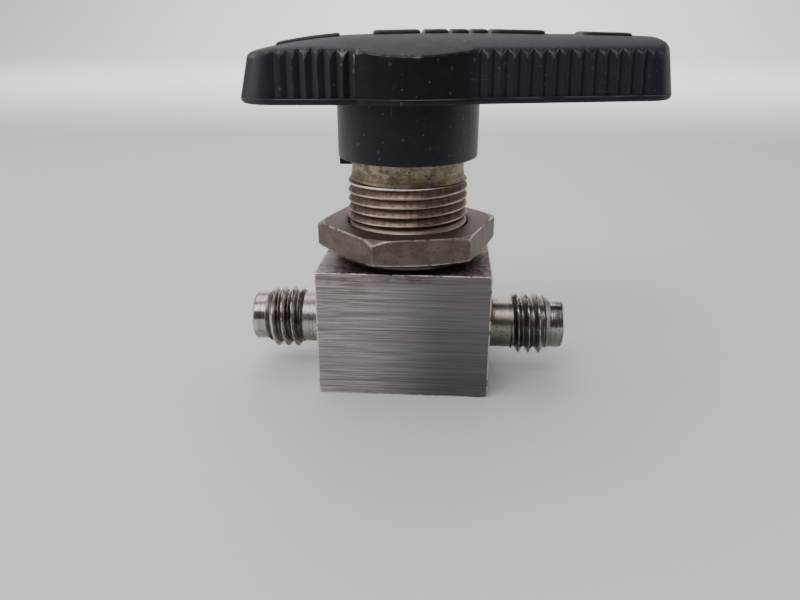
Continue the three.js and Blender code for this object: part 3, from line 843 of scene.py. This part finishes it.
class Look:
    """A node material. Its coordinates are the part's own, in millimetres."""

    def __init__(self, name, metallic, specular=0.5):
        self.material = bpy.data.materials.new(name)
        self.material.use_nodes = True
        self.tree = self.material.node_tree
        self.shader = self.tree.nodes["Principled BSDF"]
        self.shader.inputs["Metallic"].default_value = metallic
        self.shader.inputs["Specular IOR Level"].default_value = specular
        coords = self.add("TexCoord")
        scaled = {0: coords.outputs["Object"], "Scale": 1 / MM}
        self.place = self.add("VectorMath", scaled, operation="SCALE").outputs[0]
        self.x, self.y, self.z = self.add("SeparateXYZ", {0: self.place}).outputs
        normal = self.add("SeparateXYZ", {0: coords.outputs["Normal"]}).outputs
        self.normal_x, self.normal_z = normal["X"], normal["Z"]
        self.edge = self.add("Attribute", attribute_name="edge").outputs["Fac"]

    def add(self, kind, values=None, **settings):
        made = self.tree.nodes.new("ShaderNode" + kind)
        for key, value in settings.items():
            setattr(made, key, value)
        for slot, value in (values or {}).items():
            if isinstance(value, bpy.types.NodeSocket):
                self.tree.links.new(value, made.inputs[slot])
            else:
                made.inputs[slot].default_value = value
        return made

    def math(self, operation, a, b=0.0):
        return self.add("Math", {0: a, 1: b}, operation=operation).outputs[0]

    def times(self, product, *others):
        for other in others:
            product = self.math("MULTIPLY", product, other)
        return product

    def plus(self, a, b):
        return self.math("ADD", a, b)

    def more(self, a, b):
        return self.math("MAXIMUM", a, b)

    def less(self, value):
        return self.math("SUBTRACT", 1.0, value)

    def step(self, value, low, high):
        """0 below low and 1 above high, with a smooth rise between. It falls if low is above high."""
        values = {"Value": value, "From Min": low, "From Max": high}
        return self.add("MapRange", values, interpolation_type="SMOOTHSTEP").outputs["Result"]

    def span(self, value, low, high):
        """A number that goes from low to high as value goes from 0 to 1."""
        return self.add("MapRange", {"Value": value, "To Min": low, "To Max": high}).outputs["Result"]

    def noise(self, stretch=(1, 1, 1), detail=2.0, seed=0.0, roughness=0.5):
        """Noise with that many features per millimetre along each axis."""
        place = {"Vector": self.place, "Scale": stretch, "Location": (seed, seed * 2, seed * 3)}
        moved = self.add("Mapping", place).outputs[0]
        values = {"Vector": moved, "Scale": 1.0, "Detail": detail, "Roughness": roughness}
        return self.add("TexNoise", values).outputs["Fac"]

    def specks(self, per_mm, radius, share, seed=0.0):
        """Round spots: one in each chosen cell, with share of the cells chosen."""
        place = {"Vector": self.place, "Scale": (per_mm,) * 3, "Location": (seed, seed, seed)}
        moved = self.add("Mapping", place).outputs[0]
        cells = self.add("TexVoronoi", {"Vector": moved, "Scale": 1.0})
        chosen = self.add("SeparateColor", {0: cells.outputs["Color"]}).outputs[0]
        spot = self.step(cells.outputs["Distance"], radius * per_mm, radius * per_mm * 0.5)
        return self.times(spot, self.step(chosen, 1 - share, 1 - share + 0.02))

    def scratches(self, stretch, width, seed=0.0):
        """Thin wandering lines, where smooth noise crosses its middle value, broken up by larger patches."""
        away = self.math("ABSOLUTE", self.plus(self.noise(stretch, 1.0, seed), -0.5))
        patches = self.step(self.noise((0.25, 0.25, 0.25), 1.0, seed + 5), 0.52, 0.6)
        return self.times(self.step(away, width, 0.0), patches)

    def mix(self, factor, a, b):
        """A colour between a and b. Each is an (r, g, b) tuple or a socket."""
        values = {0: factor, 6: a, 7: b}
        for slot in (6, 7):
            if isinstance(values[slot], tuple):
                values[slot] = (*values[slot], 1)
        return self.add("Mix", values, data_type="RGBA").outputs[2]

    def over(self, colour, mask, share, coat):
        """The colour under a coat that covers that share of it where mask is 1."""
        return self.mix(self.times(mask, share), colour, coat)

    def aside(self):
        """Distance from the plane across the middle of the flow axis."""
        return self.math("ABSOLUTE", self.x)

    def radius(self, a, b):
        return self.math("SQRT", self.plus(self.times(a, a), self.times(b, b)))

    def finish(self, colour, roughness, height, distance):
        """Links the colour, roughness and bump. distance is the bump's depth in millimetres."""
        bump = self.add("Bump", {"Height": height, "Distance": distance * MM, "Strength": 1.0})
        for socket, value in (("Base Color", colour), ("Roughness", roughness), ("Normal", bump.outputs[0])):
            self.tree.links.new(value, self.shader.inputs[socket])
        return self.material


def block_face(look, blotch):
    """Colour, roughness and height of the block: brushed sides, a mottled top, stains, nicks and painted shade
    towards the lower right.
    """
    up = look.step(look.math("ABSOLUTE", look.normal_z), 0.5, 0.8)
    coarse = look.times(look.noise((0.06, 0.06, 8), 3, 1), 0.4)
    fine = look.times(look.noise((0.14, 0.14, 26), 2, 2), 0.6)
    tops = look.noise((1.8, 1.8, 1.8), 3, 3)
    brushed = look.plus(look.times(look.plus(coarse, fine), look.less(up)), look.times(tops, up))
    streaks = look.step(brushed, 0.36, 0.64)
    colour = look.mix(streaks, (0.185, 0.162, 0.158), (0.43, 0.395, 0.39))

    # Painted shade: the block is coloured darker towards the right, and more so lower down.
    right = look.step(look.x, -7.5, 6.0)
    low = look.step(look.z, 14.0, 1.0)
    colour = look.over(colour, right, look.span(low, 0.66, 0.82), (0.085, 0.087, 0.083))
    stain = look.times(look.step(blotch, 0.48, 0.62), look.step(look.z, 11.0, 14.5))
    colour = look.over(colour, stain, 0.65, (0.19, 0.13, 0.12))
    top = look.step(look.z, BODY_TOP - 0.05, BODY_TOP - 0.01)
    mottle = look.step(look.noise((1.6, 1.6, 1.6), 4, 9, 0.7), 0.4, 0.6)
    colour = look.over(colour, top, 0.9, look.mix(mottle, (0.15, 0.10, 0.10), (0.38, 0.28, 0.28)))

    patchy = look.step(look.noise((0.9, 0.9, 2.5), 4, 12, 0.65), 0.38, 0.56)
    soiled = look.times(
        look.step(look.z, BODY_TOP - 1.6, BODY_TOP - 0.6),
        look.step(look.x, 4.5, 2.0),
        look.span(look.step(look.x, -5.0, -2.0), 0.4, 1.0),
        look.span(patchy, 0.45, 1.0),
    )
    colour = look.over(colour, soiled, 0.75, (0.10, 0.06, 0.06))
    scuffed = look.step(look.noise((0.14, 0.14, 11.0), 3, 8, 0.6), 0.50, 0.62)
    scuffed = look.times(scuffed, look.step(look.x, 4.0, -7.0))
    colour = look.over(colour, scuffed, 0.65, (0.64, 0.60, 0.59))
    scored = look.step(look.noise((0.2, 0.2, 18.0), 2, 15, 0.6), 0.52, 0.62)
    scored = look.times(scored, look.step(look.x, -1.0, -7.0), look.step(look.z, 4.0, 12.0))
    colour = look.over(colour, scored, 0.7, (0.11, 0.085, 0.082))
    chipped = look.step(look.noise((1.2, 1.2, 1.2), 3, 6), 0.36, 0.5)
    nicks = look.times(look.step(look.edge, 0.02, 0.1), chipped)
    colour = look.mix(nicks, colour, (0.78, 0.75, 0.73))
    roughness = look.plus(look.span(streaks, 0.44, 0.34), look.times(top, 0.18))
    return colour, roughness, brushed


def fitting_steel(look, blotch):
    """Colour, roughness and height of the fittings: turned, polished, with grime in the threads, painted shade on
    their undersides and a painted pinkish reflection on their tops, mostly on the left one.
    """
    aside = look.aside()
    radius = look.radius(look.y, look.plus(look.z, -FLOW_Z))
    rightward = look.step(look.x, -5.0, 5.0)
    threaded = look.step(aside, THREAD_START - 0.5, THREAD_START - 0.2)
    threaded = look.times(threaded, look.step(aside, THREAD_END + 0.4, THREAD_END + 0.1))
    turned = look.noise((7, 0.25, 0.25), 3, 4)
    colour = look.mix(look.step(turned, 0.35, 0.65), (0.33, 0.30, 0.29), (0.56, 0.525, 0.51))
    colour = look.over(colour, look.step(blotch, 0.5, 0.62), 0.45, (0.36, 0.30, 0.24))

    root = look.times(threaded, look.step(radius, FITTING_CREST_R - 0.22, FITTING_ROOT_R + 0.2))
    caked = look.step(look.noise((0.9, 0.9, 0.9), 3, 7), 0.35, 0.6)
    grime = look.times(root, look.span(caked, 0.6, 0.95), look.span(rightward, 1.0, 0.4))
    colour = look.mix(grime, colour, (0.065, 0.05, 0.043))
    crests = look.times(threaded, look.step(radius, FITTING_CREST_R - 0.12, FITTING_CREST_R - 0.03))
    colour = look.over(colour, crests, 0.5, (0.62, 0.58, 0.56))

    tarnish = look.step(look.x, THREAD_START + 0.5, THREAD_START - 0.8)
    tarnish = look.times(look.step(look.x, 9.0, 10.0), tarnish)
    uneven = look.span(look.step(blotch, 0.35, 0.6), 0.2, 0.75)
    colour = look.over(colour, tarnish, uneven, (0.33, 0.27, 0.22))
    shaded = look.step(look.plus(look.normal_z, look.times(rightward, -0.4)), -0.1, -0.5)
    colour = look.over(colour, shaded, look.span(rightward, 0.5, 0.75), (0.13, 0.14, 0.125))
    # Painted reflection: upward-facing surfaces are tinted pinkish grey, mostly on the left fitting.
    leftward = look.span(look.step(look.x, 5.0, -17.0), 0.2, 0.75)
    painted_top_reflection = look.times(look.step(look.normal_z, 0.45, 0.8), leftward)
    colour = look.mix(painted_top_reflection, colour, (0.30, 0.245, 0.23))
    small_pits = look.times(look.specks(3.0, 0.11, 0.4, 7), look.less(threaded))
    colour = look.mix(look.more(look.specks(1.3, 0.14, 0.14, 3), small_pits), colour, (0.05, 0.04, 0.035))

    neck = look.step(aside, THREAD_START, THREAD_START - 0.6)
    roughness = look.plus(look.span(turned, 0.14, 0.26), look.times(grime, 0.3))
    return colour, look.plus(roughness, look.times(neck, 0.1)), turned


def body_look():
    """The block's brushed steel, and the turned steel of the fittings outside it."""
    look = Look("body_steel", 1.0)
    blotch = look.noise((0.22, 0.22, 0.3), 3, 5)
    face, face_rough, brushed = block_face(look, blotch)
    steel, steel_rough, turned = fitting_steel(look, blotch)
    fitting = look.step(look.aside(), BLOCK_WIDTH / 2 + 0.02, BLOCK_WIDTH / 2 + 0.2)
    block = look.less(fitting)
    roughness = look.plus(look.times(face_rough, block), look.times(steel_rough, fitting))
    height = look.plus(look.times(brushed, block), look.times(turned, fitting))
    return look.finish(look.mix(fitting, face, steel), roughness, height, 0.012)


def bolt_look():
    """Tan turned steel: bright crests, brown roots and a mottled collar, with painted highlights on the collar's
    upper part, the first crest and the ring just above the nut.
    """
    look = Look("bolt_steel", 1.0)
    radius = look.radius(look.x, look.y)
    collar = look.step(look.z, COLLAR_Z - 0.05, COLLAR_Z + 0.05)
    mottle = look.noise((0.8, 0.8, 1.2), 4, 1, 0.65)
    fine = look.noise((2.5, 2.5, 6), 3, 2)
    tan = look.mix(look.step(mottle, 0.35, 0.68), (0.145, 0.112, 0.082), (0.285, 0.235, 0.185))
    olive = look.step(look.noise((0.35, 0.35, 0.5), 2, 3), 0.5, 0.6)
    tan = look.over(tan, olive, 0.5, (0.20, 0.18, 0.10))
    rings = look.step(look.noise((0.12, 0.12, 8.0), 2, 4), 0.48, 0.6)
    near_thread = look.span(look.step(look.z, COLLAR_Z + 1.3, COLLAR_Z + 0.5), 0.15, 0.6)
    tan = look.over(tan, rings, near_thread, (0.10, 0.08, 0.058))
    # Painted highlight: the collar's upper part is lighter tan in mottled patches.
    painted_collar_highlight = look.times(look.step(look.z, COLLAR_Z + 0.7, COLLAR_Z + 1.2), look.step(mottle, 0.42, 0.58))
    tan = look.over(tan, painted_collar_highlight, 0.4, (0.42, 0.355, 0.27))
    specks = look.more(look.specks(1.6, 0.14, 0.35, 1), look.times(look.step(fine, 0.58, 0.68), 0.7))
    tan = look.mix(specks, tan, (0.07, 0.05, 0.04))

    thread = look.less(collar)
    crest = look.times(thread, look.step(radius, BOLT_CREST_R - 0.07, BOLT_CREST_R - 0.01))
    root = look.times(thread, look.step(radius, BOLT_ROOT_R + 0.16, BOLT_ROOT_R + 0.03))
    steel = look.mix(root, (0.235, 0.175, 0.14), (0.16, 0.112, 0.088))
    smears = look.step(look.noise((2.4, 2.4, 0.5), 3, 5, 0.65), 0.42, 0.6)
    steel = look.over(steel, smears, 0.7, (0.09, 0.06, 0.045))
    worn = look.times(crest, look.span(look.step(mottle, 0.3, 0.6), 0.55, 1.0))
    # Worn crests are tan. Painted highlight: the first crest below the collar is near white.
    first = look.step(look.z, BOLT_CREST_Z - 0.5, BOLT_CREST_Z - 0.3)
    steel = look.mix(worn, steel, look.mix(first, (0.46, 0.385, 0.33), (0.92, 0.86, 0.80)))
    # Painted highlight: the thread ring just above the nut is lightened to tan.
    lowest = look.step(look.z, float(nut_high[2]) + 0.5, float(nut_high[2]) + 0.3)
    steel = look.over(steel, lowest, 0.45, (0.48, 0.395, 0.335))

    bare = look.times(look.step(look.edge, 0.08, 0.2), look.times(collar, look.step(fine, 0.4, 0.55)))
    colour = look.mix(bare, look.mix(collar, steel, tan), (0.6, 0.55, 0.48))
    roughness = look.plus(look.span(mottle, 0.40, 0.54), look.times(root, 0.14))
    roughness = look.plus(roughness, look.times(crest, -0.1))
    return look.finish(colour, roughness, look.plus(fine, look.times(mottle, 1.5)), 0.022)


def nut_look():
    """Matt brownish steel with bright worn edges, and painted shade on its underside."""
    look = Look("nut_steel", 1.0)
    radius = look.radius(look.x, look.y)
    mottle = look.noise((0.5, 0.5, 0.7), 4, 1, 0.6)
    fine = look.noise((3, 3, 9), 3, 2)
    colour = look.mix(look.step(mottle, 0.3, 0.7), (0.13, 0.098, 0.086), (0.195, 0.15, 0.132))
    colour = look.mix(look.step(fine, 0.52, 0.75), colour, (0.085, 0.062, 0.055))
    top = look.step(look.normal_z, 0.8, 0.95)
    colour = look.over(colour, top, 0.6, (0.15, 0.112, 0.098))
    bevel = look.step(radius, NUT_CHAMFER_R - 0.1, NUT_CHAMFER_R + 0.05)
    bevel = look.times(bevel, look.step(look.normal_z, 0.5, 0.7))
    colour = look.over(colour, bevel, 0.7, (0.40, 0.33, 0.29))
    chipped = look.step(look.noise((0.9, 0.9, 0.9), 3, 3), 0.33, 0.55)
    outside = look.step(radius, NUT_BORE_R + 0.8, NUT_BORE_R + 1.4)
    worn = look.times(look.step(look.edge, 0.04, 0.14), chipped, outside)
    colour = look.mix(worn, colour, (0.60, 0.54, 0.49))
    grime = look.step(radius, NUT_BORE_R + 0.6, NUT_BORE_R + 0.2)
    colour = look.over(colour, grime, 0.5, (0.05, 0.035, 0.03))
    # Painted shade: the washer face and the underside are darkened to near black.
    under = look.step(look.z, NUT_WASHER_Z + 0.25, NUT_WASHER_Z)
    colour = look.over(colour, under, 0.85, (0.035, 0.028, 0.027))
    changes = look.plus(look.times(worn, -0.18), look.times(top, 0.12))
    roughness = look.plus(look.span(mottle, 0.42, 0.56), changes)
    return look.finish(colour, roughness, look.plus(fine, mottle), 0.014)


def nylon_wear(look, colour, top):
    """Worn edges along the lever's sides and boss, and a pale line along the lip."""
    boss = look.step(look.aside(), BOSS_HALF_LENGTH + 0.5, BOSS_HALF_LENGTH)
    crest = look.step(look.plus(look.z, look.times(boss, 0.35)), EDGE_Z - 0.9, EDGE_Z - 0.4)
    across = look.times(look.y, math.cos(LEVER_ANGLE))
    across = look.plus(across, look.times(look.x, -math.sin(LEVER_ANGLE)))
    beside_pads = look.step(look.math("ABSOLUTE", across), PAD_HALF_WIDTH + 0.3, PAD_HALF_WIDTH + 1.0)
    wear = look.span(look.times(crest, beside_pads, look.less(top)), 0.02, 0.9)
    chipped = look.step(look.noise((0.8, 0.8, 0.8), 3, 8), 0.36, 0.6)
    worn = look.times(look.step(look.edge, 0.03, 0.11), chipped)
    colour = look.over(colour, worn, wear, look.mix(boss, (0.11, 0.11, 0.12), (0.34, 0.34, 0.35)))
    above = look.step(look.z, LIP_TOP - 0.12, LIP_TOP - 0.06)
    below = look.step(look.z, LIP_TOP + 0.02, LIP_TOP - 0.03)
    line = look.times(above, below, look.step(look.noise((0.25, 0.25, 0.25), 2, 11), 0.4, 0.6))
    return look.over(colour, line, 0.8, (0.11, 0.108, 0.11))


def nylon_look():
    """Satin black moulded nylon: dust on top, spots, hair scratches and worn edges, with painted shade on the hub,
    a painted rim light on its sides and a painted lighter left end.
    """
    look = Look("handle_nylon", 0.0, 0.3)
    tone = look.noise((0.09, 0.09, 0.09), 2, 1)
    grain = look.noise((5, 5, 5), 3, 2)
    cloud = look.noise((0.5, 0.5, 0.9), 4, 3, 0.6)
    colour = look.mix(look.step(tone, 0.38, 0.62), (0.0045, 0.006, 0.0095), (0.0075, 0.006, 0.0100))
    arms = look.times(look.step(look.aside(), 6.0, 8.0), look.step(look.z, LEVER_Z - 0.5, LEVER_Z))
    colour = look.mix(arms, colour, (0.014, 0.014, 0.023))
    # Painted light: the lever's left end is coloured lighter.
    end = look.times(arms, look.step(look.x, -13.5, -15.5))
    colour = look.mix(end, colour, (0.026, 0.026, 0.032))
    # Painted shade: the hub below the lever is coloured darker than the rest of the nylon.
    hub = look.step(look.z, LEVER_Z, LEVER_Z - 0.3)
    colour = look.mix(hub, colour, (0.0008, 0.0018, 0.0040))
    # Painted rim light: the hub's left and right sides are coloured lighter, broken up by the grain.
    rim = look.step(look.math("ABSOLUTE", look.normal_x), 0.5, 0.8)
    rim = look.times(rim, look.step(look.z, LEVER_Z, LEVER_Z - 0.5))
    rim_light_grain = look.span(look.step(grain, 0.35, 0.65), 0.35, 0.8)
    colour = look.over(colour, rim, rim_light_grain, (0.042, 0.042, 0.045))
    colour = look.over(colour, look.step(cloud, 0.5, 0.75), 0.4, (0.014, 0.014, 0.019))
    top = look.step(look.normal_z, 0.55, 0.95)
    dust = look.times(top, look.span(look.step(cloud, 0.3, 0.7), 0.55, 1.0))
    colour = look.over(colour, dust, 0.75, (0.046, 0.046, 0.055))

    lines = look.more(look.scratches((0.12, 0.12, 2.2), 0.004, 4), look.scratches((1.6, 1.6, 0.12), 0.003, 9))
    large_spots = look.times(look.specks(0.8, 0.24, 0.25, 2), 0.25)
    small_spots = look.times(look.specks(1.4, 0.1, 0.25, 6), 0.7)
    marks = look.more(look.times(lines, 0.25), look.more(large_spots, small_spots))
    colour = nylon_wear(look, look.mix(marks, colour, (0.15, 0.147, 0.145)), top)
    roughness = look.plus(look.span(cloud, 0.36, 0.43), look.times(top, 0.24))
    return look.finish(colour, roughness, look.plus(grain, look.times(marks, -2.0)), 0.012)


def turned_look(name, dark, light, metallic=1.0, rough=(0.22, 0.36)):
    """A plain turned or moulded finish for the small inner pieces."""
    look = Look(name, metallic)
    lines = look.noise((1.0, 1.0, 8.0), 3, 1)
    cloud = look.noise((0.6, 0.6, 0.6), 3, 2)
    blend = look.step(look.plus(look.times(lines, 0.5), look.times(cloud, 0.5)), 0.35, 0.65)
    colour = look.mix(blend, dark, light)
    return look.finish(colour, look.span(cloud, *rough), lines, 0.008)


LOOKS = {
    "body_steel": body_look(),
    "bolt_steel": bolt_look(),
    "nut_steel": nut_look(),
    "inner_steel": turned_look("inner_steel", (0.45, 0.44, 0.43), (0.66, 0.65, 0.64)),
    "spring_steel": turned_look("spring_steel", (0.22, 0.23, 0.26), (0.38, 0.40, 0.43)),
    "handle_nylon": nylon_look(),
    "seal_plastic": turned_look("seal_plastic", (0.78, 0.76, 0.72), (0.88, 0.87, 0.84), 0.0, (0.4, 0.55)),
    "insert_brass": turned_look("insert_brass", (0.55, 0.38, 0.16), (0.74, 0.54, 0.27)),
    "screw_steel": turned_look("screw_steel", (0.05, 0.05, 0.055), (0.13, 0.13, 0.14), 1.0, (0.35, 0.5)),
}


def show(made, body_name, node, slot_name):
    """Gives a piece its finish and its body, and hides the CAD node that it stands for."""
    made.data.materials.clear()
    made.data.materials.append(LOOKS[slot_name])
    paint_edges(made)
    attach(made, body_name)
    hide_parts(node)


show(body, "valve", "valve_body", "body_steel")
show(bolt, "valve", "packing_bolt", "bolt_steel")
show(nut, "nut", "panel_nut", "nut_steel")
show(handle, "lever", "handle", "handle_nylon")
show(screw, "screw", "set_screw", "screw_steel")
for pad in pads:
    show(pad, "lever", "handle", "handle_nylon")
for part in frame["record"]["subparts"]:
    node = frame["nodes"][part["node"]]
    for slot in node.material_slots:
        slot.material = LOOKS[part["material_slot"]]
